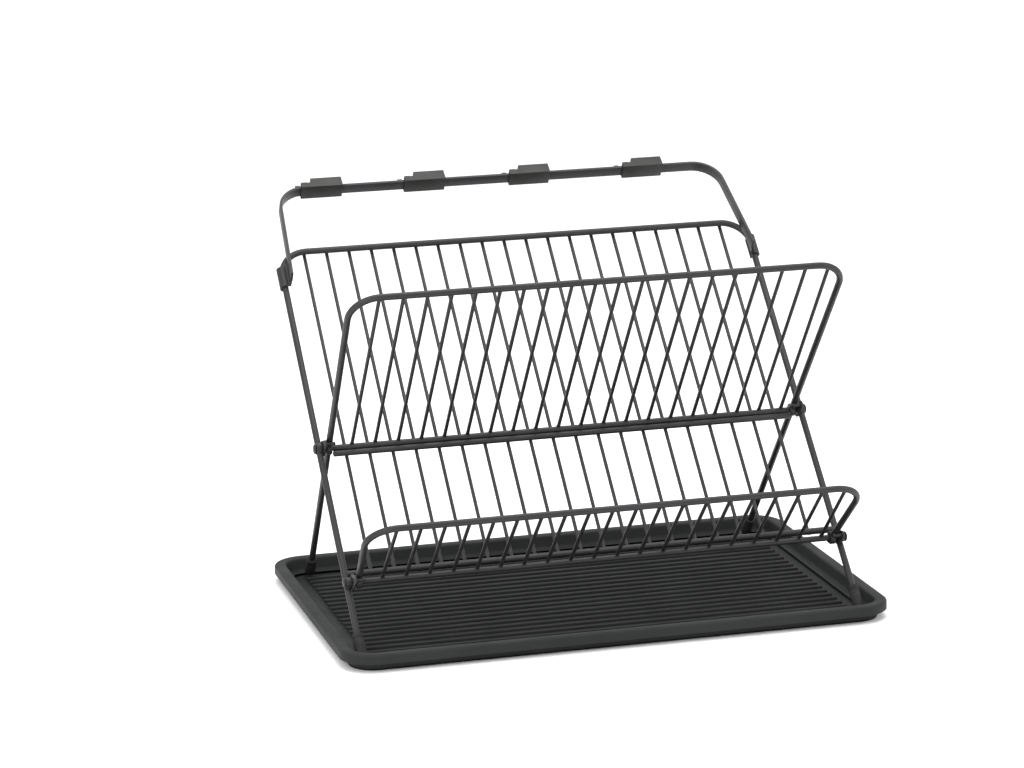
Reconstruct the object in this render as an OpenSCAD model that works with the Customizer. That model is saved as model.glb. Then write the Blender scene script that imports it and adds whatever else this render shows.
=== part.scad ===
// Folding two-tier dish rack: crossed wire frames, a fold-up guard,
// a lift-off stemware rail with sliding clips, and a drip tray.
// X runs along the rack, -Y is the front, +Z is up. The origin is the
// centre of the tray's underside.

/* [Drip tray] */
// Length of the tray over its rim
tray_w = 460; // [450:1:520]
// Depth of the tray over its rim, front to back
tray_d = 310; // [306:1:360]
// Height of the rim above the table
tray_h = 15; // [14:1:30]
// Corner radius of the rim
tray_r = 28; // [20:1:45]
// Distance between two floor ribs
rib_pitch = 12; // [8:1:20]

/* [Frames] */
// Distance between the centres of the rear frame's side rods
rear_w = 420; // [416:1:424]
// Distance between the front frame's side rods at the pivot
front_w = 404; // [402:0.5:406]
// How much the front frame widens on each side towards its top rail
front_splay = 4; // [2:0.5:5]
// Slope of the rear frame above the horizontal
rear_slope = 44; // [40:1:48]
// Slope of the front frame above the horizontal
front_slope = 50.6; // [46:0.1:56]
// Length of the rear frame above the pivot
rear_reach = 200; // [190:1:215]
// Length of the front frame above the pivot
front_reach = 192; // [180:1:194]
// Height of the pivot above the table
pivot_h = 141.5; // [135:0.5:155]
// Diameter of the frame rods
rod_d = 5.5; // [4:0.1:5.6]
// Diameter of the two hinge rods
pin_d = 5; // [4:0.1:5.2]
// Bend radius of the frame corners, to the rod's centre
bend_r = 24; // [18:1:30]

/* [Wire grids] */
// Diameter of a grid wire
wire_d = 3.1; // [2:0.1:3.4]
// Wires in each grid
wire_count = 20; // [10:1:20]
// Distance between the centres of two wires
wire_pitch = 19.7; // [16:0.1:20]
// How far the front wires are set to the right, to pass between the rear ones
wire_shift = 5; // [4:0.5:8]

/* [Guard] */
// Length of the guard from its hinge to its top rail
guard_reach = 86; // [60:1:100]
// Slope of the open guard above the horizontal
guard_slope = 43; // [35:1:60]
// Distance from the pivot down to the rear frame's bottom bar
bottom_bar_at = 120.6; // [110:0.1:125]

/* [Stemware rail] */
// Width of the flat strip
strip_w = 9.5; // [8:0.5:12]
// Thickness of the flat strip
strip_t = 2.5; // [2:0.1:3]
// Half the distance between the rail's upper corners
rail_half_w = 198.4; // [190:0.1:200]
// Slope of the rail's legs above the horizontal
rail_slope = 34; // [32:1:36]
// Length of the rail above the rear frame's corners
rail_reach = 78.5; // [60:0.5:90]
// Sideways places of the four clips
clip_x = [-160, -68, 27, 131];

/* [Hidden] */

$fn = 48;
coat_col = "#2b2c2f";
plastic_col = "#1f2023";
rubber_col = "#18181a";

// drip tray
wall_t = 3;             // moulded wall
lip_w = 10;             // flat rim outside the hollow
lip_t = 3;              // thickness of the rim
skirt_t = 2;            // turned-down edge of the rim
skirt_h = 8;            // its height
floor_t = 3;            // tray floor
rib_w = 3;              // floor rib
rib_h = 1.4;
rib_margin = 16;        // clear band between the ribs and the wall

// places of the frames
pivot_y = 21;
rest_gap = 0.2;         // air under the foot caps
leg_drop = pivot_h - floor_t - rib_h - rest_gap;
rear_leg = leg_drop / sin(rear_slope);
front_leg = leg_drop / sin(front_slope);
front_dir = 180 - front_slope;
guard_dir = 180 - guard_slope;
front_lean = atan(front_splay / front_reach);
front_half_w = front_w / 2 + front_splay;

// welds and fits
sink = 0.2;             // depth to which a wire melts into a rod
bite = 0.4;             // how far a straight length runs into a bend
bend_thin = 0.04;       // a bend is thinner by this
wire_lift = (rod_d + wire_d) / 2 - sink;
rod_plane = -0.5;       // rear rods' plane, measured from the pivot axis
run_d = pin_d + 0.1;    // bore that runs on a hinge rod
eye_d = 11;             // flattened eye in a side rod
eye_t = 5;
cap_d = 8.4;            // push-on cap at a rod's end
cap_t = 1.8;
cap_gap = 0.5;
pin_half = rear_w / 2 + eye_t / 2 + cap_gap + cap_t - 0.8;

// stop plates beside the hinges
plate_t = 1.6;
plate_d = 13;
stop_at = 12;           // from the hinge axis to the stop tab
stop_d = 3;
stop_gap = 0.3;
stop_x = rear_w / 2 - eye_t / 2;

// bars of the rear frame
mid_bar_d = 5;
mid_bar_at = 5.3;
mid_bar_half = 198.7;
mid_bar_plane = rod_plane - wire_lift + (wire_d + mid_bar_d) / 2 - sink;
wire_end = 1.6;         // how far a rear wire runs past the top rail's centre
butt_plane = -1.2;      // plane of the wires that end against their rods

// guard hinge, in the rear frame's own directions
guard_eye_d = 8.5;
guard_y = -(bottom_bar_at + 11.6);
guard_z = rod_plane + (rod_d + guard_eye_d) / 2 - 0.15;
guard_half_w = 201.8;
guard_splay = 5.7;
guard_lean = atan(guard_splay / guard_reach);

// foot caps
foot_d = 9;
foot_grip = 16;         // length of rod inside a cap
foot_sole = 5;          // rubber under the rod's end

// stemware rail, in its own directions from the point where it crosses a corner
rail_cross = [190, 8.8];
rail_foot = 26;         // length of the legs below the crossing
rail_lean = -atan(7.55 / (rail_reach + rail_foot));
hook_at = 173;          // middle of the hook, along the rear frame
hook_len = 20;
hook_gap = 0.3;
hook_t = 1.6;
hook_bridge = 6.4;      // from the rod's side up to the strip's edge

// stemware clips
clip_w = 36.5;
prong_w = 5.2;
notch_w = 4;
clip_low = 3.2;         // reach of the sleeve below the strip's centre
clip_high = 7.8;
clip_back = 6.5;
clip_front = 7.5;
prong_high = 2.9;
slide_gap = 0.3;
fork_len = 26;
fork_t = 5.5;
fork_top = 0.5;         // above the strip's centre
fork_r = 2.4;
stem_slot = 6;
stem_seat = 7;
seat_at = 15;           // behind the strip's centre

function wire_x(i) = (i - (wire_count - 1) / 2) * wire_pitch;

// height of a bent rod's centre at x, below its straight top rail
function bend_drop(x, half, lean) =
    let (over = abs(x) - (half - bend_r * tan((90 + lean) / 2)))
    over <= 0 ? 0 : bend_r - sqrt(bend_r * bend_r - over * over);

// directions in which each frame lies: y along the frame, z out of its plane
module on_rear() { translate([0, pivot_y, pivot_h]) rotate([rear_slope, 0, 0]) children(); }
module on_front() { translate([0, pivot_y, pivot_h]) rotate([front_dir, 0, 0]) children(); }
module on_guard() {
    on_rear() translate([0, guard_y, guard_z]) rotate([guard_dir - rear_slope, 0, 0]) children();
}
module on_rail() {
    on_rear() translate([0, rail_cross[0], rail_cross[1]]) rotate([rail_slope - rear_slope, 0, 0]) children();
}

// straight round bar along X, centred
module x_bar(d, length) { rotate([0, 90, 0]) cylinder(d = d, h = length, center = true); }

// U-shaped bar lying in the XY plane. Children: top rail, section of the legs, section of the bends
module bent_bar(half, top, bottom, lean) {
    turn = 90 + lean;
    tangent = bend_r * tan(turn / 2);
    bend_x = half - tangent;
    end_y = top - bend_r + bend_r * cos(turn);
    translate([0, top, 0]) children(0);
    for (side = [0, 1]) mirror([side, 0, 0]) {
        translate([bend_x, top - bend_r, 0]) rotate([0, 0, 90 - turn])
            rotate_extrude(angle = turn) translate([bend_r, 0]) children(2);
        translate([bend_x + bend_r * sin(turn), end_y, 0]) rotate([0, 0, -lean]) rotate([90, 0, 0])
            translate([0, 0, -bite]) linear_extrude((end_y - bottom) / cos(lean) + bite) children(1);
    }
}

module rod_frame(half, top, bottom, lean) {
    bent_bar(half, top, bottom, lean) {
        x_bar(rod_d, 2 * (half - bend_r * tan((90 + lean) / 2) + bite));
        circle(d = rod_d);
        circle(d = rod_d - bend_thin);
    }
}

// wires from y = low up to top, less where the rail bends; shift moves the row sideways
module wire_row(low, top, half, lean, shift) {
    for (i = [0 : wire_count - 1]) {
        x = wire_x(i) + shift;
        high = top - bend_drop(x, half, lean);
        translate([x, low, 0]) rotate([-90, 0, 0]) cylinder(d = wire_d, h = high - low, $fn = 24);
    }
}

// eye pressed into a side rod, and the hole through it
module eye_disc(x) { translate([x, 0, 0]) x_bar(eye_d, eye_t); }

// ---- drip tray ----
module rounded_box(w, d, h, r) {
    linear_extrude(h) {
        square([w - 2 * r, d], center = true);
        square([w, d - 2 * r], center = true);
        for (sx = [-1, 1], sy = [-1, 1])
            translate([sx * (w / 2 - r), sy * (d / 2 - r)]) circle(r = r);
    }
}

module drip_tray() {
    hollow_w = tray_w - 2 * lip_w;
    hollow_d = tray_d - 2 * lip_w;
    hollow_r = tray_r - lip_w;
    rib_rows = floor((hollow_d / 2 - rib_margin) / rib_pitch);
    color(plastic_col) {
        difference() {
            union() {
                rounded_box(hollow_w + 2 * wall_t, hollow_d + 2 * wall_t, tray_h, hollow_r + wall_t);
                translate([0, 0, tray_h - skirt_h]) rounded_box(tray_w, tray_d, skirt_h, tray_r);
            }
            translate([0, 0, floor_t]) rounded_box(hollow_w, hollow_d, tray_h, hollow_r);
            translate([0, 0, tray_h - skirt_h - 1]) difference() {
                rounded_box(tray_w - 2 * skirt_t, tray_d - 2 * skirt_t, skirt_h - lip_t + 1, tray_r - skirt_t);
                translate([0, 0, -1])
                    rounded_box(hollow_w + 2 * wall_t, hollow_d + 2 * wall_t, skirt_h + 2, hollow_r + wall_t);
            }
        }
        for (row = [-rib_rows : rib_rows])
            translate([-hollow_w / 2 + rib_margin, row * rib_pitch - rib_w / 2, floor_t])
                cube([hollow_w - 2 * rib_margin, rib_w, rib_h]);
    }
}

// ---- rear frame ----
module rear_rod_shape() {
    translate([0, 0, rod_plane]) rod_frame(rear_w / 2, rear_reach, -rear_leg + foot_sole, 0);
}

module rear_frame_rod() {
    color(coat_col) on_rear() difference() {
        union() {
            rear_rod_shape();
            for (s = [-1, 1]) eye_disc(s * rear_w / 2);
        }
        x_bar(run_d, rear_w + 2 * eye_t);
    }
}

module rear_bottom_bar_shape() { translate([0, -bottom_bar_at, rod_plane]) x_bar(rod_d, rear_w - rod_d / 2); }

module rear_mid_bar_shape() { translate([0, -mid_bar_at, mid_bar_plane]) x_bar(mid_bar_d, 2 * mid_bar_half); }

module rear_grid_wires() {
    color(coat_col) on_rear() difference() {
        translate([0, 0, rod_plane - wire_lift])
            wire_row(-bottom_bar_at, rear_reach + wire_end, rear_w / 2, 0, 0);
        rear_rod_shape();
        rear_bottom_bar_shape();
        rear_mid_bar_shape();
    }
}

module rear_mid_bar() { color(coat_col) on_rear() rear_mid_bar_shape(); }

module rear_bottom_bar() {
    color(coat_col) on_rear() difference() {
        rear_bottom_bar_shape();
        rear_rod_shape();
    }
}

// plate beside a hinge: a washer with an ear whose bent tab stops the moving rod.
// Its y direction is the moving rod's own direction; s is the side, out the tab's side.
module stop_plate(s, out) {
    tab_x = s * (stop_x - plate_t);
    tab_z = out * ((rod_d + stop_d) / 2 + stop_gap);
    tab_len = 8;
    difference() {
        union() {
            translate([s * (stop_x - plate_t / 2), 0, 0]) {
                x_bar(plate_d, plate_t);
                translate([0, stop_at / 2, tab_z / 2]) cube([plate_t, stop_at, 7], center = true);
                translate([0, stop_at, tab_z]) x_bar(7, plate_t);
            }
            translate([tab_x - s * (tab_len / 2 - 0.5), stop_at, tab_z]) x_bar(stop_d, tab_len);
        }
        x_bar(run_d, rear_w);
    }
}

module frame_stop(s) { color(coat_col) on_front() stop_plate(s, 1); }
module frame_stop_left() { frame_stop(-1); }
module frame_stop_right() { frame_stop(1); }

module guard_eye(s) {
    color(coat_col) on_rear() difference() {
        translate([s * rear_w / 2, guard_y, guard_z]) x_bar(guard_eye_d, eye_t);
        translate([0, guard_y, guard_z]) x_bar(run_d, rear_w + 2 * eye_t);
        rear_rod_shape();
    }
}
module guard_eye_left() { guard_eye(-1); }
module guard_eye_right() { guard_eye(1); }

module guard_stop(s) { color(coat_col) on_guard() stop_plate(s, 1); }
module guard_stop_left() { guard_stop(-1); }
module guard_stop_right() { guard_stop(1); }

// rubber cap on a leg; the leg's end is at the origin and points along -Y
module foot_cap(slope) {
    difference() {
        translate([0, -foot_sole * 2, 0]) rotate([-90, 0, 0])
            cylinder(d = foot_d, h = foot_sole * 2 + foot_grip);
        rotate([-90, 0, 0]) cylinder(d = rod_d, h = foot_grip + 1);
        rotate([-slope, 0, 0]) translate([-foot_d, -4 * foot_d, -foot_sole * sin(abs(slope)) - 4 * foot_d])
            cube([2 * foot_d, 8 * foot_d, 4 * foot_d]);
    }
}

module front_foot(s) {
    color(rubber_col) on_rear() translate([s * rear_w / 2, -rear_leg + foot_sole, rod_plane])
        foot_cap(rear_slope);
}
module front_foot_left() { front_foot(-1); }
module front_foot_right() { front_foot(1); }

// ---- front frame ----
module front_rod_shape() { rod_frame(front_half_w, front_reach, -front_leg + foot_sole, front_lean); }

module front_frame_rod() {
    color(coat_col) on_front() difference() {
        union() {
            front_rod_shape();
            for (s = [-1, 1]) eye_disc(s * front_w / 2);
        }
        x_bar(pin_d, rear_w);
    }
}

module front_grid_wires() {
    color(coat_col) on_front() difference() {
        translate([0, 0, butt_plane])
            wire_row(0.8, front_reach - 1, front_half_w, front_lean, wire_shift);
        front_rod_shape();
        x_bar(pin_d, 2 * pin_half);
    }
}

module pivot_rod() { color(coat_col) on_front() x_bar(pin_d, 2 * pin_half); }

// push-on cap over a rod's end
module end_cap(s) {
    cap_x = rear_w / 2 + eye_t / 2 + cap_gap;
    difference() {
        translate([s * (cap_x + cap_t / 2), 0, 0]) x_bar(cap_d, cap_t);
        x_bar(pin_d, 2 * pin_half);
    }
}
module pivot_cap_left() { color(coat_col) on_front() end_cap(-1); }
module pivot_cap_right() { color(coat_col) on_front() end_cap(1); }

module rear_foot(s) {
    foot_y = -front_leg + foot_sole;
    foot_x = front_half_w - (front_reach - foot_y) * tan(front_lean);
    color(rubber_col) on_front() translate([s * foot_x, foot_y, 0]) rotate([0, 0, -s * front_lean])
        foot_cap(front_dir);
}
module rear_foot_left() { rear_foot(-1); }
module rear_foot_right() { rear_foot(1); }

// ---- guard ----
module guard_rod_shape() { rod_frame(guard_half_w + guard_splay, guard_reach, -6, guard_lean); }

module guard_rod() {
    color(coat_col) on_guard() difference() {
        union() {
            guard_rod_shape();
            for (s = [-1, 1]) eye_disc(s * guard_half_w);
        }
        x_bar(pin_d, rear_w);
    }
}

module guard_wires() {
    color(coat_col) on_guard() difference() {
        translate([0, 0, butt_plane])
            wire_row(0.8, guard_reach - 1, guard_half_w + guard_splay, guard_lean, wire_shift);
        guard_rod_shape();
        x_bar(pin_d, 2 * pin_half);
    }
}

module guard_hinge_rod() { color(coat_col) on_guard() x_bar(pin_d, 2 * pin_half); }
module guard_cap_left() { color(coat_col) on_guard() end_cap(-1); }
module guard_cap_right() { color(coat_col) on_guard() end_cap(1); }

// ---- stemware rail ----
module rail_shape() {
    bent_bar(rail_half_w, rail_reach, -rail_foot, rail_lean) {
        cube([2 * (rail_half_w - bend_r * tan((90 + rail_lean) / 2) + bite), strip_t, strip_w], center = true);
        square([strip_t, strip_w], center = true);
        square([strip_t - bend_thin, strip_w - bend_thin], center = true);
    }
}

module stem_rail() { color(coat_col) on_rail() rail_shape(); }

// hook at a leg's foot, passing round the outer side of a rear side rod
module rail_hook(s) {
    inner_r = rod_d / 2 + hook_gap;
    outer_r = inner_r + hook_t;
    color(coat_col) difference() {
        on_rear() translate([s * rear_w / 2, hook_at + hook_len / 2, rod_plane]) rotate([90, 0, 0])
            linear_extrude(hook_len) mirror([s > 0 ? 0 : 1, 0]) {
                difference() {
                    circle(r = outer_r);
                    circle(r = inner_r);
                    translate([-2 * outer_r, -outer_r - 1]) square([2 * outer_r, 2 * outer_r + 2]);
                }
                translate([-outer_r, inner_r]) square([outer_r, hook_t]);
                translate([-outer_r, inner_r]) square([outer_r - hook_t, hook_bridge]);
                translate([-inner_r, -outer_r]) square([inner_r, hook_t]);
            }
        on_rail() rail_shape();
    }
}
module rail_hook_left() { rail_hook(-1); }
module rail_hook_right() { rail_hook(1); }

// ---- stemware clips ----
// sleeve round the strip with a prong and a block in front, and a level fork behind
module stem_clip(x) {
    left = -clip_w / 2;
    notch_x = left + prong_w;
    block_x = notch_x + notch_w;
    slot_d = strip_t + 2 * slide_gap;
    slot_w = strip_w + 2 * slide_gap;
    color(plastic_col) translate([x, 0, 0]) on_rail() translate([0, rail_reach, 0]) difference() {
        union() {
            translate([left, -clip_low, -clip_back])
                cube([clip_w, clip_low + prong_high, clip_back + clip_front]);
            translate([block_x, -clip_low, -clip_back])
                cube([clip_w / 2 - block_x, clip_low + clip_high, clip_back + clip_front]);
            rotate([-rail_slope, 0, 0]) translate([0, 0, fork_top - fork_t]) linear_extrude(fork_t)
                clip_fork();
        }
        translate([left - 1, -slot_d / 2, -slot_w / 2]) cube([clip_w + 2, slot_d, slot_w]);
        translate([notch_x, slot_d / 2 + 1, -clip_back - 1])
            cube([notch_w, clip_high, clip_back + clip_front + 2]);
    }
}

// level fork behind the strip: two arms with a slot and a seat for a glass stem
module clip_fork() {
    slot_x = -clip_w / 2 + prong_w + notch_w / 2;
    difference() {
        union() {
            translate([-clip_w / 2, 1]) square([clip_w, fork_len - fork_r]);
            translate([-clip_w / 2 + fork_r, 1]) square([clip_w - 2 * fork_r, fork_len]);
            for (s = [-1, 1]) translate([s * (clip_w / 2 - fork_r), 1 + fork_len - fork_r]) circle(r = fork_r);
        }
        translate([slot_x, seat_at]) circle(d = stem_seat);
        translate([slot_x - stem_slot / 2, seat_at]) square([stem_slot, 2 * fork_len]);
    }
}
module stem_clip_1() { stem_clip(clip_x[0]); }
module stem_clip_2() { stem_clip(clip_x[1]); }
module stem_clip_3() { stem_clip(clip_x[2]); }
module stem_clip_4() { stem_clip(clip_x[3]); }

drip_tray();
rear_frame_rod();
rear_grid_wires();
rear_mid_bar();
rear_bottom_bar();
frame_stop_left();
frame_stop_right();
guard_eye_left();
guard_eye_right();
guard_stop_left();
guard_stop_right();
front_foot_left();
front_foot_right();
front_frame_rod();
front_grid_wires();
pivot_rod();
pivot_cap_left();
pivot_cap_right();
rear_foot_left();
rear_foot_right();
guard_rod();
guard_wires();
guard_hinge_rod();
guard_cap_left();
guard_cap_right();
stem_rail();
rail_hook_left();
rail_hook_right();
stem_clip_1();
stem_clip_2();
stem_clip_3();
stem_clip_4();
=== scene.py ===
import math

import bmesh
import bpy
from mathutils import Matrix, Vector


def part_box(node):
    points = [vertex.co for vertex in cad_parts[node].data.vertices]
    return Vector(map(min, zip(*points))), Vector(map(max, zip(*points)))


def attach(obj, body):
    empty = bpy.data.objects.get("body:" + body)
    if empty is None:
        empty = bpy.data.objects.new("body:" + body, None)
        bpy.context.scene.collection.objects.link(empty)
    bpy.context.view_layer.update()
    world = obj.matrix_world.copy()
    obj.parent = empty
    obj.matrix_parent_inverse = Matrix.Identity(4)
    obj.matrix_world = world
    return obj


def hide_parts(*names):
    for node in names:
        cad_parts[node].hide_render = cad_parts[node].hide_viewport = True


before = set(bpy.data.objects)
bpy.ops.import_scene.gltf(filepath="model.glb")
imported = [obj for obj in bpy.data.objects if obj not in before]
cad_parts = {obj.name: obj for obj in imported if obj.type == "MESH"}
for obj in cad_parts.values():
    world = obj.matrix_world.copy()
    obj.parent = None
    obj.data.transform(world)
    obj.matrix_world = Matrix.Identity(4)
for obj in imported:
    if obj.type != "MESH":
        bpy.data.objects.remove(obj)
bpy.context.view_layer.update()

# ---------------------------------------------------------------------------
# Drip tray. One injection-moulded polypropylene tray: a flat rim with a
# turned-down edge, a wall that leans in a little, and a floor with low rounded
# ribs that keep the feet out of the water. The rack stands in it.
# ---------------------------------------------------------------------------


def linear(hex_colour):
    """sRGB hex to the linear colour that the shaders take."""
    channels = [int(hex_colour[i:i + 2], 16) / 255 for i in (1, 3, 5)]
    return [c / 12.92 if c <= 0.04045 else ((c + 0.055) / 1.055) ** 2.4 for c in channels] + [1]


def add_node(tree, kind, settings=None, sockets=None, links=None):
    """One shader node with its settings, its fixed sockets and the links into it."""
    made = tree.nodes.new(kind)
    for name, value in (settings or {}).items():
        setattr(made, name, value)
    for name, value in (sockets or {}).items():
        made.inputs[name].default_value = value
    for name, source in (links or {}).items():
        tree.links.new(source, made.inputs[name])
    return made


def new_material(name):
    """An empty node material and its Object coordinates."""
    made = bpy.data.materials.new(name)
    made.use_nodes = True
    made.node_tree.nodes.clear()
    tree = made.node_tree
    return made, tree, add_node(tree, "ShaderNodeTexCoord").outputs["Object"]


def two_tones(tree, where, size_mm, low, high, spread=(0.35, 0.65), detail=3):
    """A slow drift between two colours, size_mm from patch to patch."""
    noise = add_node(tree, "ShaderNodeTexNoise", sockets={"Scale": 1000 / size_mm, "Detail": detail},
                     links={"Vector": where})
    ramp = add_node(tree, "ShaderNodeValToRGB", links={"Fac": noise.outputs["Fac"]})
    for stop, place, colour in zip(ramp.color_ramp.elements, spread, (low, high)):
        stop.position = place
        stop.color = linear(colour)
    return ramp.outputs["Color"]


def drift(tree, where, size_mm, low, high):
    """A number that wanders between low and high, for roughness."""
    noise = add_node(tree, "ShaderNodeTexNoise", sockets={"Scale": 1000 / size_mm, "Detail": 4},
                     links={"Vector": where})
    scaled = add_node(tree, "ShaderNodeMapRange",
                      sockets={"From Min": 0.3, "From Max": 0.7, "To Min": low, "To Max": high},
                      links={"Value": noise.outputs["Fac"]})
    return scaled.outputs["Result"]


def finish_material(tree, shader):
    add_node(tree, "ShaderNodeOutputMaterial", links={"Surface": shader.outputs["BSDF"]})


# Polypropylene from a spark-eroded mould: near-black, dull, with a fine grain.
# The real grain is about 0.3 mm; it is drawn at 0.9 mm so that it shows.
tray_plastic, tree, where = new_material("moulded_polypropylene")
grain = add_node(tree, "ShaderNodeTexNoise", sockets={"Scale": 1000 / 0.9, "Detail": 2},
                 links={"Vector": where})
relief = add_node(tree, "ShaderNodeBump", sockets={"Strength": 0.22, "Distance": 0.0002},
                  links={"Height": grain.outputs["Fac"]})
finish_material(tree, add_node(
    tree, "ShaderNodeBsdfPrincipled", sockets={"IOR": 1.49, "Specular IOR Level": 0.18},
    links={"Base Color": two_tones(tree, where, 60, "#202121", "#252626"),
           "Roughness": drift(tree, where, 35, 0.55, 0.68), "Normal": relief.outputs["Normal"]}))


def add_piece(name, bm, body, nodes, material, place=None, sharp=35):
    """Makes a bmesh, drawn in millimetres, into a piece that stands for CAD nodes."""
    bmesh.ops.transform(bm, matrix=Matrix.Scale(0.001, 4) @ (place or Matrix()), verts=bm.verts)
    bmesh.ops.recalc_face_normals(bm, faces=bm.faces)
    mesh = bpy.data.meshes.new(name)
    bm.to_mesh(mesh)
    bm.free()
    mesh.shade_smooth()
    mesh.set_sharp_from_angle(angle=math.radians(sharp))
    made = bpy.data.objects.new(name, mesh)
    bpy.context.scene.collection.objects.link(made)
    made.data.materials.append(material)
    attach(made, body)
    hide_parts(*nodes)
    return made


def rounded_loop(bm, width, depth, radius, height, steps=10):
    """Edges of a rounded rectangle lying flat at a height."""
    corners = [bm.verts.new((sx * width / 2, sy * depth / 2, height))
               for sx, sy in ((-1, -1), (1, -1), (1, 1), (-1, 1))]
    bm.faces.new(corners)
    made = bmesh.ops.bevel(bm, geom=corners, affect="VERTICES", offset=radius, segments=steps,
                           profile=0.5, material=-1)
    loop = max(made["faces"] + [f for f in bm.faces if f.is_valid and len(f.verts) > 4],
               key=lambda f: f.calc_area() if f.verts[0].co.z == height else 0)
    edges = list(loop.edges)
    bmesh.ops.delete(bm, geom=[loop], context="FACES_ONLY")
    return edges


tray_lo, tray_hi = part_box("drip_tray")
tray_w, tray_d = [1000 * (hi - lo) for lo, hi in zip(tray_lo[:2], tray_hi[:2])]
tray_corner = 28
floor_top = 3
# inset from the rim's edge and height, from the skirt's foot over the rim, down
# the wall to the floor's edge
rim_path = [(0.4, 7), (0, 7.4), (0, 13.4), (0.4, 14.3), (1.1, 14.85), (2.2, 15), (8.2, 14.9),
            (9.1, 14.6), (9.7, 13.9), (10, 13), (10.5, 6.4), (11.1, 4.8), (12.2, 3.6), (14, 3.05),
            (15.5, 3)]
under_path = [(0.4, 7), (1.7, 7), (2, 7.3), (2.1, 11.4), (2.8, 12), (6.2, 12), (6.8, 11.5),
              (7.1, 10.6), (7.4, 2.4), (8, 0.7), (9.4, 0), (13, 0), (13.6, 0.5), (16, 0.5)]
bm = bmesh.new()
for path, floor_height in ((rim_path, floor_top), (under_path, 0.5)):
    previous = None
    for inset, height in path:
        edges = rounded_loop(bm, tray_w - 2 * inset, tray_d - 2 * inset, max(tray_corner - inset, 2),
                             height)
        if previous:
            bmesh.ops.bridge_loops(bm, edges=previous + edges)
        previous = edges
    bmesh.ops.edgeloop_fill(bm, edges=previous)
bmesh.ops.remove_doubles(bm, verts=bm.verts, dist=0.001)
rib_pitch, rib_w, rib_h, rib_rows = 12, 3, 1.4, 10
rib_l = tray_w - 52
for row in range(-rib_rows, rib_rows + 1):
    rib_at = Matrix.Translation((0, row * rib_pitch, floor_top + rib_h / 2 - 0.5))
    made = bmesh.ops.create_cube(bm, size=1, matrix=rib_at @ Matrix.Diagonal((rib_l, rib_w, rib_h + 1, 1)))
    upper = [v for v in made["verts"] if v.co.z > floor_top]
    bmesh.ops.bevel(bm, geom=[e for e in {e for v in upper for e in v.link_edges}
                              if all(v in upper for v in e.verts)],
                    affect="EDGES", offset=1.1, segments=3, profile=0.5, material=-1)
add_piece("moulded_tray", bm, "tray", ["drip_tray"], tray_plastic)

# ---------------------------------------------------------------------------
# Rear frame rod. One 5.5 mm mild-steel rod bent to a U, with a round eye on each
# leg at the pivot, then powder-coated charcoal. It slopes back at the top, and
# its legs end in the front feet. The eyes are drawn without their bores.
# ---------------------------------------------------------------------------

# Satin polyester powder coat: an even charcoal skin with a soft sheen and the
# slight orange peel that the melt leaves, about 1.5 mm across, drawn at 2 mm.
powder_coat, tree, where = new_material("powder_coated_steel")
peel = add_node(tree, "ShaderNodeTexNoise", sockets={"Scale": 1000 / 2, "Detail": 2},
                links={"Vector": where})
relief = add_node(tree, "ShaderNodeBump", sockets={"Strength": 0.18, "Distance": 0.0002},
                  links={"Height": peel.outputs["Fac"]})
finish_material(tree, add_node(
    tree, "ShaderNodeBsdfPrincipled",
    sockets={"IOR": 1.5, "Specular IOR Level": 0.3, "Coat Weight": 0.03, "Coat Roughness": 0.4},
    links={"Base Color": two_tones(tree, where, 45, "#232224", "#2a292b"),
           "Roughness": drift(tree, where, 20, 0.38, 0.5), "Normal": relief.outputs["Normal"]}))

pivot = Vector((0, 21, 141.5))
rear_slope, front_slope, guard_slope = 44, 50.6, 43
on_rear = Matrix.Translation(pivot) @ Matrix.Rotation(math.radians(rear_slope), 4, "X")
rod_d, pin_d, bend_r = 5.5, 5, 24
rear_plane = -0.5
sole_height, foot_sole = 4.6, 5
leg_drop = pivot.z - sole_height
rear_half, rear_top = 210, 200
rear_bottom = foot_sole - leg_drop / math.sin(math.radians(rear_slope))


def end_ring(bm, radius, lean, steps=16):
    """The round section of a rod, square to a leg that leans by an angle."""
    across = Matrix.Rotation(lean, 4, "Z") @ Matrix.Rotation(math.pi / 2, 4, "X")
    made = bmesh.ops.create_circle(bm, cap_ends=False, segments=steps, radius=radius, matrix=across)
    return made["verts"]


def push(bm, edges, way):
    """Extrudes a ring of edges straight along a vector."""
    made = bmesh.ops.extrude_edge_only(bm, edges=edges)["geom"]
    bmesh.ops.translate(bm, verts=[g for g in made if isinstance(g, bmesh.types.BMVert)], vec=way)
    return [g for g in made if isinstance(g, bmesh.types.BMEdge)]


def bend(bm, edges, centre, angle, steps=12):
    """Turns a ring of edges about a centre in the XY plane."""
    made = bmesh.ops.spin(bm, geom=edges, cent=centre, axis=(0, 0, 1), angle=angle, steps=steps,
                          dvec=(0, 0, 0), use_merge=False, use_duplicate=False)["geom_last"]
    return [g for g in made if isinstance(g, bmesh.types.BMEdge)]


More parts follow.
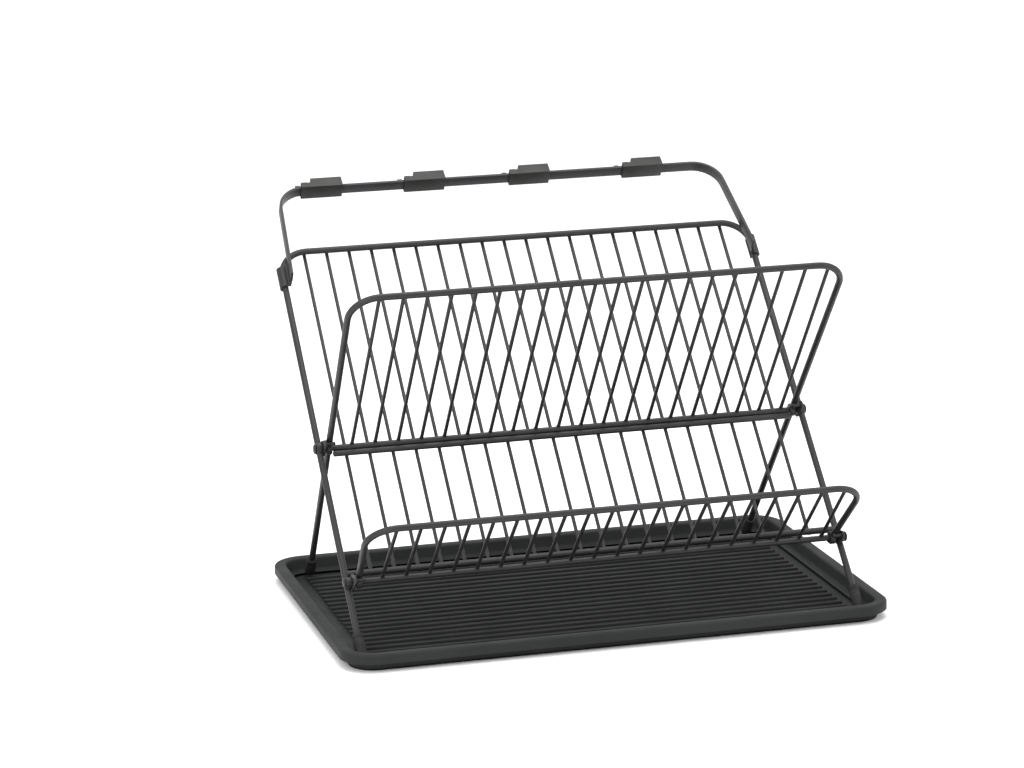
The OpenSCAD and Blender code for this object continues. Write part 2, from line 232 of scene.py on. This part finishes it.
def bend_rod(bm, ring, half, top, bottom, lean):
    """Sweeps a section up the left leg, round the top and down the right leg."""
    turn = math.pi / 2 + lean
    bend_x = half - bend_r * math.tan(turn / 2)
    end = Vector((bend_x + bend_r * math.sin(turn), top - bend_r + bend_r * math.cos(turn), 0))
    up_left = Vector((-math.sin(lean), math.cos(lean), 0))
    leg = (end.y - bottom) / math.cos(lean)
    bmesh.ops.translate(bm, verts=ring, vec=Vector((-end.x, end.y, 0)) - up_left * leg)
    first = list({e for v in ring for e in v.link_edges})
    edges = push(bm, first, up_left * leg)
    edges = bend(bm, edges, (-bend_x, top - bend_r, 0), -turn)
    edges = push(bm, edges, (2 * bend_x, 0, 0))
    edges = bend(bm, edges, (bend_x, top - bend_r, 0), -turn)
    last = push(bm, edges, Vector((-math.sin(lean), -math.cos(lean), 0)) * leg)
    for ends in (first, last):
        bmesh.ops.edgeloop_fill(bm, edges=ends)
    bmesh.ops.bevel(bm, geom=first + last, affect="EDGES", offset=0.7, segments=3, profile=0.5,
                    material=-1)


def x_cylinder(bm, diameter, length, centre, rounding=0.5, steps=24):
    """A cylinder along X with rounded rims."""
    made = bmesh.ops.create_cone(bm, cap_ends=True, segments=steps, radius1=diameter / 2,
                                 radius2=diameter / 2, depth=length,
                                 matrix=Matrix.Translation(centre) @ Matrix.Rotation(math.pi / 2, 4, "Y"))
    rims = [e for e in {e for v in made["verts"] for e in v.link_edges}
            if any(len(f.verts) > 4 for f in e.link_faces)]
    bmesh.ops.bevel(bm, geom=rims, affect="EDGES", offset=rounding, segments=3, profile=0.5, material=-1)


eye_d, eye_t = 11, 5
bm = bmesh.new()
bend_rod(bm, end_ring(bm, rod_d / 2, 0), rear_half, rear_top, rear_bottom, 0)
bmesh.ops.translate(bm, verts=bm.verts, vec=(0, 0, rear_plane))
for side in (-1, 1):
    x_cylinder(bm, eye_d, eye_t, (side * rear_half, 0, 0), rounding=1)
add_piece("rear_frame_bent_rod", bm, "rear_frame", ["rear_frame_rod"], powder_coat, on_rear)

# ---------------------------------------------------------------------------
# Rear grid. Twenty 3.1 mm wires from the top rail to the bottom bar, with a bar
# just under the pivot rod, resistance-welded to the back of the rods before coating, so
# that every crossing has a small melted bead.
# ---------------------------------------------------------------------------

wire_d, wire_pitch, wire_count = 3.1, 19.7, 20
weld_sink = 0.2
wire_lift = (rod_d + wire_d) / 2 - weld_sink
bottom_bar_at = 120.6
mid_bar_at, mid_bar_half, mid_bar_d = 5.3, 198.7, 5
mid_bar_plane = rear_plane - wire_lift + (wire_d + mid_bar_d) / 2 - weld_sink
wire_end, butt_plane = 1.6, -1.2


def wire_places(shift):
    return [(i - (wire_count - 1) / 2) * wire_pitch + shift for i in range(wire_count)]


def bend_drop(x, half, lean):
    """How far the bent rod has fallen from its straight top rail at x."""
    over = abs(x) - (half - bend_r * math.tan((math.pi / 2 + lean) / 2))
    return 0 if over <= 0 else bend_r - math.sqrt(bend_r ** 2 - over ** 2)


def add_wire(bm, x, low, high, plane):
    """A wire along Y with rounded cut ends."""
    made = bmesh.ops.create_cone(bm, cap_ends=True, segments=12, radius1=wire_d / 2, radius2=wire_d / 2,
                                 depth=high - low, matrix=Matrix.Translation((x, (low + high) / 2, plane))
                                 @ Matrix.Rotation(math.pi / 2, 4, "X"))
    rims = [e for e in {e for v in made["verts"] for e in v.link_edges}
            if any(len(f.verts) > 4 for f in e.link_faces)]
    bmesh.ops.bevel(bm, geom=rims, affect="EDGES", offset=0.45, segments=2, profile=0.5, material=-1)


def add_weld(bm, x, y, plane):
    """A flattened bead where a wire crosses a rod."""
    bead = Matrix.Translation((x, y, plane)) @ Matrix.Diagonal((2.1, 2.0, 0.95, 1))
    bmesh.ops.create_uvsphere(bm, u_segments=10, v_segments=6, radius=1, matrix=bead)


bm = bmesh.new()
for x in wire_places(0):
    rail = rear_top - bend_drop(x, rear_half, 0)
    add_wire(bm, x, -bottom_bar_at, rail + wire_end, rear_plane - wire_lift)
    for y in (rail, -bottom_bar_at):
        add_weld(bm, x, y, rear_plane - rod_d / 2 + weld_sink / 2)
    add_weld(bm, x, -mid_bar_at, mid_bar_plane - mid_bar_d / 2 + weld_sink / 2)
add_piece("rear_grid_welded_wires", bm, "rear_frame", ["rear_grid_wires"], powder_coat,
          on_rear)

bm = bmesh.new()
x_cylinder(bm, mid_bar_d, 2 * mid_bar_half, (0, -mid_bar_at, mid_bar_plane), rounding=0.8)
add_piece("rear_mid_cross_bar", bm, "rear_frame", ["rear_mid_bar"], powder_coat, on_rear)

bm = bmesh.new()
x_cylinder(bm, rod_d, 2 * rear_half - rod_d / 2, (0, -bottom_bar_at, rear_plane))
for side in (-1, 1):
    weld_at = Matrix.Translation((side * (rear_half - 2.6), -bottom_bar_at, rear_plane))
    bmesh.ops.create_uvsphere(bm, u_segments=12, v_segments=8, radius=1,
                              matrix=weld_at @ Matrix.Diagonal((1.6, 3.1, 2.4, 1)))
add_piece("rear_bottom_cross_bar", bm, "rear_frame", ["rear_bottom_bar"], powder_coat,
          on_rear)

# ---------------------------------------------------------------------------
# Front frame. A second bent rod that passes between the rear frame's legs,
# widening a little towards its top rail, with its own twenty wires set between
# the rear ones. It turns on a long pivot rod with pressed-on end caps.
# ---------------------------------------------------------------------------

front_half, front_top = 206, 192
front_bottom = foot_sole - leg_drop / math.sin(math.radians(front_slope))
front_lean = math.atan(4 / front_top)
front_eye_x, wire_shift = 202, 5
on_front = Matrix.Translation(pivot) @ Matrix.Rotation(math.radians(180 - front_slope), 4, "X")

bm = bmesh.new()
bend_rod(bm, end_ring(bm, rod_d / 2, front_lean), front_half, front_top, front_bottom, front_lean)
for side in (-1, 1):
    x_cylinder(bm, eye_d, eye_t, (side * front_eye_x, 0, 0), rounding=1)
add_piece("front_frame_bent_rod", bm, "front_frame", ["front_frame_rod"], powder_coat,
          on_front)


wire_start, rail_bite, bead_depth = 0.8, 1, 0.86


def butt_grid(bm, half, lean, top):
    """Wires cut to length between a hinge rod and a top rail, with a bead round each end."""
    for x in wire_places(wire_shift):
        rail = top - bend_drop(x, half, lean)
        add_wire(bm, x, wire_start, rail - rail_bite, butt_plane)
        for y, reach in ((0, pin_d / 2), (rail, -rod_d / 2)):
            weld_at = Matrix.Translation((x, y + reach * bead_depth, butt_plane))
            bmesh.ops.create_uvsphere(bm, u_segments=10, v_segments=6, radius=1,
                                      matrix=weld_at @ Matrix.Diagonal((2.0, 0.9, 1.9, 1)))


bm = bmesh.new()
butt_grid(bm, front_half, front_lean, front_top)
add_piece("front_grid_welded_wires", bm, "front_frame", ["front_grid_wires"], powder_coat,
          on_front)

cap_d, cap_t, cap_gap = 8.4, 1.8, 0.5
cap_x = rear_half + eye_t / 2 + cap_gap
pin_half = cap_x + cap_t - 0.8


def domed_cap(bm, side):
    """A pressed steel cap: a washer-like skirt with a domed crown."""
    crown = [(0, cap_t), (1.6, cap_t), (2.8, cap_t - 0.2), (3.6, cap_t - 0.6), (cap_d / 2, cap_t - 1.2),
             (cap_d / 2, 0.3), (cap_d / 2 - 0.3, 0), (0, 0)]
    verts = [bm.verts.new((side * (cap_x + along), 0, out)) for out, along in crown]
    edges = [bm.edges.new(pair) for pair in zip(verts, verts[1:])]
    bmesh.ops.spin(bm, geom=verts + edges, cent=(0, 0, 0), axis=(1, 0, 0), dvec=(0, 0, 0),
                   angle=2 * math.pi, steps=28, use_merge=True, use_duplicate=False)
    bmesh.ops.remove_doubles(bm, verts=bm.verts, dist=0.001)


bm = bmesh.new()
x_cylinder(bm, pin_d, 2 * pin_half, (0, 0, 0))
add_piece("pivot_long_rod", bm, "front_frame", ["pivot_rod"], powder_coat, on_front)
for side, node in ((-1, "pivot_cap_left"), (1, "pivot_cap_right")):
    bm = bmesh.new()
    domed_cap(bm, side)
    add_piece(node + "_domed", bm, "front_frame", [node], powder_coat, on_front)

# ---------------------------------------------------------------------------
# Guard. A short bent rod with twenty wires that hangs in front of the lower
# tier on a hinge rod and opens into a V with the rear frame's lower grid.
# ---------------------------------------------------------------------------

guard_top, guard_splay, guard_eye_x, guard_bottom = 86, 5.7, 201.8, -6
guard_half = guard_eye_x + guard_splay
guard_lean = math.atan(guard_splay / guard_top)
guard_eye_d = 8.5
guard_at = Vector((0, -(bottom_bar_at + 11.6), rear_plane + (rod_d + guard_eye_d) / 2 - 0.15))
on_guard = (on_rear @ Matrix.Translation(guard_at)
            @ Matrix.Rotation(math.radians(180 - guard_slope - rear_slope), 4, "X"))

bm = bmesh.new()
bend_rod(bm, end_ring(bm, rod_d / 2, guard_lean), guard_half, guard_top, guard_bottom, guard_lean)
for side in (-1, 1):
    x_cylinder(bm, eye_d, eye_t, (side * guard_eye_x, 0, 0), rounding=1)
add_piece("guard_bent_rod", bm, "guard", ["guard_rod"], powder_coat, on_guard)

bm = bmesh.new()
butt_grid(bm, guard_half, guard_lean, guard_top)
add_piece("guard_welded_wires", bm, "guard", ["guard_wires"], powder_coat, on_guard)

bm = bmesh.new()
x_cylinder(bm, pin_d, 2 * pin_half, (0, 0, 0))
add_piece("guard_hinge_long_rod", bm, "guard", ["guard_hinge_rod"], powder_coat, on_guard)
for side, node in ((-1, "guard_cap_left"), (1, "guard_cap_right")):
    bm = bmesh.new()
    domed_cap(bm, side)
    add_piece(node + "_domed", bm, "guard", [node], powder_coat, on_guard)

# ---------------------------------------------------------------------------
# Hinge fittings on the rear frame: sleeves that carry the guard's rod, and
# stamped stop plates whose bent tabs hold the front frame and the guard open.
# Both are drawn without their bores, which the rods fill.
# ---------------------------------------------------------------------------

for side, node in ((-1, "guard_eye_left"), (1, "guard_eye_right")):
    bm = bmesh.new()
    x_cylinder(bm, guard_eye_d, eye_t, (side * rear_half, guard_at.y, guard_at.z), rounding=0.7)
    weld_at = Matrix.Translation((side * rear_half, guard_at.y, rear_plane + rod_d / 2))
    bmesh.ops.create_uvsphere(bm, u_segments=12, v_segments=8, radius=1,
                              matrix=weld_at @ Matrix.Diagonal((2.1, 3.6, 1.0, 1)))
    add_piece(node + "_welded", bm, "rear_frame", [node], powder_coat, on_rear)

plate_t, plate_d, stop_at, stop_d = 1.6, 13, 12, 3
stop_x = rear_half - eye_t / 2
tab_z = (rod_d + stop_d) / 2 + 0.3


def stop_plate(bm, side):
    """A stamped pear-shaped plate with rounded edges and its bent-in tab."""
    across = Matrix.Rotation(math.pi / 2, 4, "Y")
    plate_x = side * (stop_x - plate_t / 2)
    verts = []
    for y, z, diameter in ((0, 0, plate_d), (stop_at, tab_z, 7)):
        verts += bmesh.ops.create_cone(bm, cap_ends=True, segments=28, radius1=diameter / 2,
                                       radius2=diameter / 2, depth=plate_t,
                                       matrix=Matrix.Translation((plate_x, y, z)) @ across)["verts"]
    made = bmesh.ops.convex_hull(bm, input=verts, use_existing_faces=False)
    bmesh.ops.delete(bm, geom=made["geom_interior"] + made["geom_unused"], context="VERTS")
    bmesh.ops.dissolve_limit(bm, angle_limit=math.radians(1), verts=bm.verts, edges=bm.edges)
    rims = [e for e in bm.edges if len(e.link_faces) == 2 and e.calc_face_angle(0) > math.radians(60)]
    bmesh.ops.bevel(bm, geom=rims, affect="EDGES", offset=0.4, segments=2, profile=0.5, material=-1)
    x_cylinder(bm, stop_d, 8, (side * (stop_x - plate_t - 3.5), stop_at, tab_z), rounding=0.5, steps=16)


for side, name in ((-1, "left"), (1, "right")):
    for kind, place in (("frame_stop", on_front), ("guard_stop", on_guard)):
        bm = bmesh.new()
        stop_plate(bm, side)
        add_piece(f"{kind}_{name}_plate", bm, "rear_frame", [f"{kind}_{name}"], powder_coat,
                  place)

# ---------------------------------------------------------------------------
# Feet. Moulded rubber caps pushed over the four leg ends, cut level where they
# stand on the tray, with a soft lip round the rod.
# ---------------------------------------------------------------------------

# Moulded EPDM rubber: black, dull, faintly dusty where it is handled.
foot_rubber, tree, where = new_material("moulded_rubber")
grain = add_node(tree, "ShaderNodeTexNoise", sockets={"Scale": 1000 / 0.8, "Detail": 2},
                 links={"Vector": where})
relief = add_node(tree, "ShaderNodeBump", sockets={"Strength": 0.25, "Distance": 0.0002},
                  links={"Height": grain.outputs["Fac"]})
finish_material(tree, add_node(
    tree, "ShaderNodeBsdfPrincipled", sockets={"IOR": 1.52, "Specular IOR Level": 0.22},
    links={"Base Color": two_tones(tree, where, 6, "#1d1d1d", "#262626"),
           "Roughness": drift(tree, where, 8, 0.62, 0.78), "Normal": relief.outputs["Normal"]}))

foot_d, foot_grip = 9, 16


def rubber_foot(bm, place):
    """A cap turned about the leg's axis, then cut level at the sole."""
    outer = foot_d / 2
    profile = [(0, -10), (outer, -10), (outer, 10), (outer - 0.25, 10.6), (outer - 0.25, 11.4),
               (outer, 12), (outer, foot_grip - 1.2), (outer - 0.35, foot_grip - 0.4),
               (outer - 1.1, foot_grip), (rod_d / 2, foot_grip), (rod_d / 2, foot_grip - 1),
               (0, foot_grip - 1)]
    verts = [bm.verts.new((out, along, 0)) for out, along in profile]
    edges = [bm.edges.new(pair) for pair in zip(verts, verts[1:])]
    bmesh.ops.spin(bm, geom=verts + edges, cent=(0, 0, 0), axis=(0, 1, 0), dvec=(0, 0, 0),
                   angle=2 * math.pi, steps=28, use_merge=True, use_duplicate=False)
    bmesh.ops.remove_doubles(bm, verts=bm.verts, dist=0.001)
    bmesh.ops.transform(bm, matrix=place, verts=bm.verts)
    cut = bmesh.ops.bisect_plane(bm, geom=bm.verts[:] + bm.edges[:] + bm.faces[:], dist=0.0001,
                                 plane_co=(0, 0, sole_height), plane_no=(0, 0, -1), clear_outer=True)
    rim = [g for g in cut["geom_cut"] if isinstance(g, bmesh.types.BMEdge)]
    bmesh.ops.edgeloop_fill(bm, edges=rim)
    bmesh.ops.bevel(bm, geom=rim, affect="EDGES", offset=0.5, segments=3, profile=0.5, material=-1)


front_foot_x = rear_half
rear_foot_x = front_half - (front_top - front_bottom) * math.tan(front_lean)
for side, name in ((-1, "left"), (1, "right")):
    bm = bmesh.new()
    rubber_foot(bm, on_rear @ Matrix.Translation((side * front_foot_x, rear_bottom, rear_plane)))
    add_piece(f"front_foot_{name}_cap", bm, "rear_frame", [f"front_foot_{name}"],
              foot_rubber)
    bm = bmesh.new()
    rubber_foot(bm, on_front @ Matrix.Translation((side * rear_foot_x, front_bottom, 0))
                @ Matrix.Rotation(-side * front_lean, 4, "Z"))
    add_piece(f"rear_foot_{name}_cap", bm, "front_frame", [f"rear_foot_{name}"], foot_rubber)

# ---------------------------------------------------------------------------
# Stemware rail. A flat steel strip on edge, bent to a U and coated like the
# rods; hooks welded to its legs clasp the rear frame's side rods from outside.
# ---------------------------------------------------------------------------

strip_w, strip_t = 9.5, 2.5
rail_half, rail_top, rail_bottom = 198.4, 78.5, -26
rail_lean = -math.atan(7.55 / (rail_top - rail_bottom))
rail_slope = 34
on_rail = (on_rear @ Matrix.Translation((0, 190, 8.8))
           @ Matrix.Rotation(math.radians(rail_slope - rear_slope), 4, "X"))

bm = bmesh.new()
half_t, half_w, soft = strip_t / 2, strip_w / 2, 0.6
outline = [(half_t - soft, half_w), (half_t - soft / 4, half_w - soft / 4), (half_t, half_w - soft)]
outline += [(x, -z) for x, z in reversed(outline)]
outline += [(-x, z) for x, z in reversed(outline)]
lean_way = Matrix.Rotation(rail_lean, 4, "Z")
ring = [bm.verts.new(lean_way @ Vector((x, 0, z))) for x, z in outline]
for pair in zip(ring, ring[1:] + ring[:1]):
    bm.edges.new(pair)
bend_rod(bm, ring, rail_half, rail_top, rail_bottom, rail_lean)
add_piece("stem_rail_bent_strip", bm, "stem_rail", ["stem_rail"], powder_coat, on_rail)


def softened_copy(node, rounding):
    """A merged copy of a CAD node in millimetres, its long outer edges rounded."""
    bm = bmesh.new()
    bm.from_mesh(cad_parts[node].data)
    bmesh.ops.scale(bm, vec=(1000, 1000, 1000), verts=bm.verts)
    bmesh.ops.remove_doubles(bm, verts=bm.verts, dist=0.002)
    bmesh.ops.dissolve_limit(bm, angle_limit=math.radians(0.5), verts=bm.verts, edges=bm.edges)
    long_edges = [e for e in bm.edges if len(e.link_faces) == 2 and e.is_convex
                  and e.calc_face_angle(0) > math.radians(50) and e.calc_length() > 3
                  and all(near.calc_length() > 1.5 for v in e.verts for near in v.link_edges)]
    bmesh.ops.bevel(bm, geom=long_edges, affect="EDGES", offset=rounding, segments=3, profile=0.5,
                    material=-1, clamp_overlap=True)
    return bm


for name in ("left", "right"):
    add_piece(f"rail_hook_{name}_bent", softened_copy(f"rail_hook_{name}", 0.5), "stem_rail",
              [f"rail_hook_{name}"], powder_coat, sharp=20)

# ---------------------------------------------------------------------------
# Stemware clips. Four moulded ABS clips that slide along the strip: a sleeve
# with a prong and a block in front, and a fork behind that holds a stem.
# ---------------------------------------------------------------------------

# ABS from a satin mould: charcoal, smooth, a little glossier than the tray.
clip_plastic, tree, where = new_material("moulded_satin_abs")
grain = add_node(tree, "ShaderNodeTexNoise", sockets={"Scale": 1000 / 0.7, "Detail": 2},
                 links={"Vector": where})
relief = add_node(tree, "ShaderNodeBump", sockets={"Strength": 0.15, "Distance": 0.0001},
                  links={"Height": grain.outputs["Fac"]})
finish_material(tree, add_node(
    tree, "ShaderNodeBsdfPrincipled", sockets={"IOR": 1.53, "Specular IOR Level": 0.28},
    links={"Base Color": two_tones(tree, where, 12, "#1d1c1b", "#222120"),
           "Roughness": drift(tree, where, 10, 0.38, 0.5), "Normal": relief.outputs["Normal"]}))

# the four come from one mould, so the first one's shape is set along the strip
first_clip_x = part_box("stem_clip_1")[0][0]
for number in range(1, 5):
    node = f"stem_clip_{number}"
    bm = softened_copy("stem_clip_1", 0.5)
    bmesh.ops.translate(bm, verts=bm.verts, vec=(1000 * (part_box(node)[0][0] - first_clip_x), 0, 0))
    add_piece(node + "_moulded", bm, f"clip_{number}", [node], clip_plastic, sharp=20)

# ---------------------------------------------------------------------------
# Studio: a pale floor, a wide overhead light, a key from the left front, a
# fill from the right, and a long-lens camera a little above the rack.
# ---------------------------------------------------------------------------

floor_tone, tree, where = new_material("pale_studio_floor")
finish_material(tree, add_node(
    tree, "ShaderNodeBsdfPrincipled", sockets={"Base Color": linear("#fafafa"), "Roughness": 0.9}))
bm = bmesh.new()
bmesh.ops.create_grid(bm, x_segments=2, y_segments=2, size=12)
mesh = bpy.data.meshes.new("studio_floor")
bm.to_mesh(mesh)
bm.free()
studio_floor = bpy.data.objects.new("studio_floor", mesh)
studio_floor.data.materials.append(floor_tone)
bpy.context.scene.collection.objects.link(studio_floor)

world = bpy.data.worlds.new("white_studio")
bpy.context.scene.world = world
world.use_nodes = True
world.node_tree.nodes["Background"].inputs["Color"].default_value = (1, 1, 1, 1)
world.node_tree.nodes["Background"].inputs["Strength"].default_value = 1.05
bpy.context.scene.view_settings.view_transform = "Standard"

rack_centre = Vector((0, 0.02, 0.15))
for name, place, size, power in (("overhead", (0.1, 0.1, 1.9), 1.8, 30),
                                 ("key", (-1.5, -1.3, 1.3), 1.0, 18),
                                 ("fill", (1.7, -0.9, 0.9), 1.2, 9)):
    lamp = bpy.data.lights.new(name, "AREA")
    lamp.shape = "SQUARE"
    lamp.size = size
    lamp.energy = power
    light = bpy.data.objects.new(name, lamp)
    light.location = place
    light.rotation_euler = (rack_centre - light.location).to_track_quat("-Z", "Y").to_euler()
    bpy.context.scene.collection.objects.link(light)

azimuth, elevation, roll = math.radians(-14.905), math.radians(12.753), math.radians(1.203)
distance, aim_right, aim_up = 2.9364, -0.04277, 0.03834
back = Vector((math.sin(azimuth) * math.cos(elevation), -math.cos(azimuth) * math.cos(elevation),
               math.sin(elevation)))
right = Vector((math.cos(azimuth), math.sin(azimuth), 0))
up = back.cross(right)
camera_x = right * math.cos(roll) - up * math.sin(roll)
camera_y = right * math.sin(roll) + up * math.cos(roll)
lens = bpy.data.cameras.new("long_lens")
lens.lens = 3500 * 36 / 1024
lens.sensor_width = 36
camera = bpy.data.objects.new("camera", lens)
camera.matrix_world = (Matrix.Translation(pivot / 1000 + right * aim_right + up * aim_up + back * distance)
                       @ Matrix((camera_x, camera_y, back)).transposed().to_4x4())
bpy.context.scene.collection.objects.link(camera)
bpy.context.scene.camera = camera
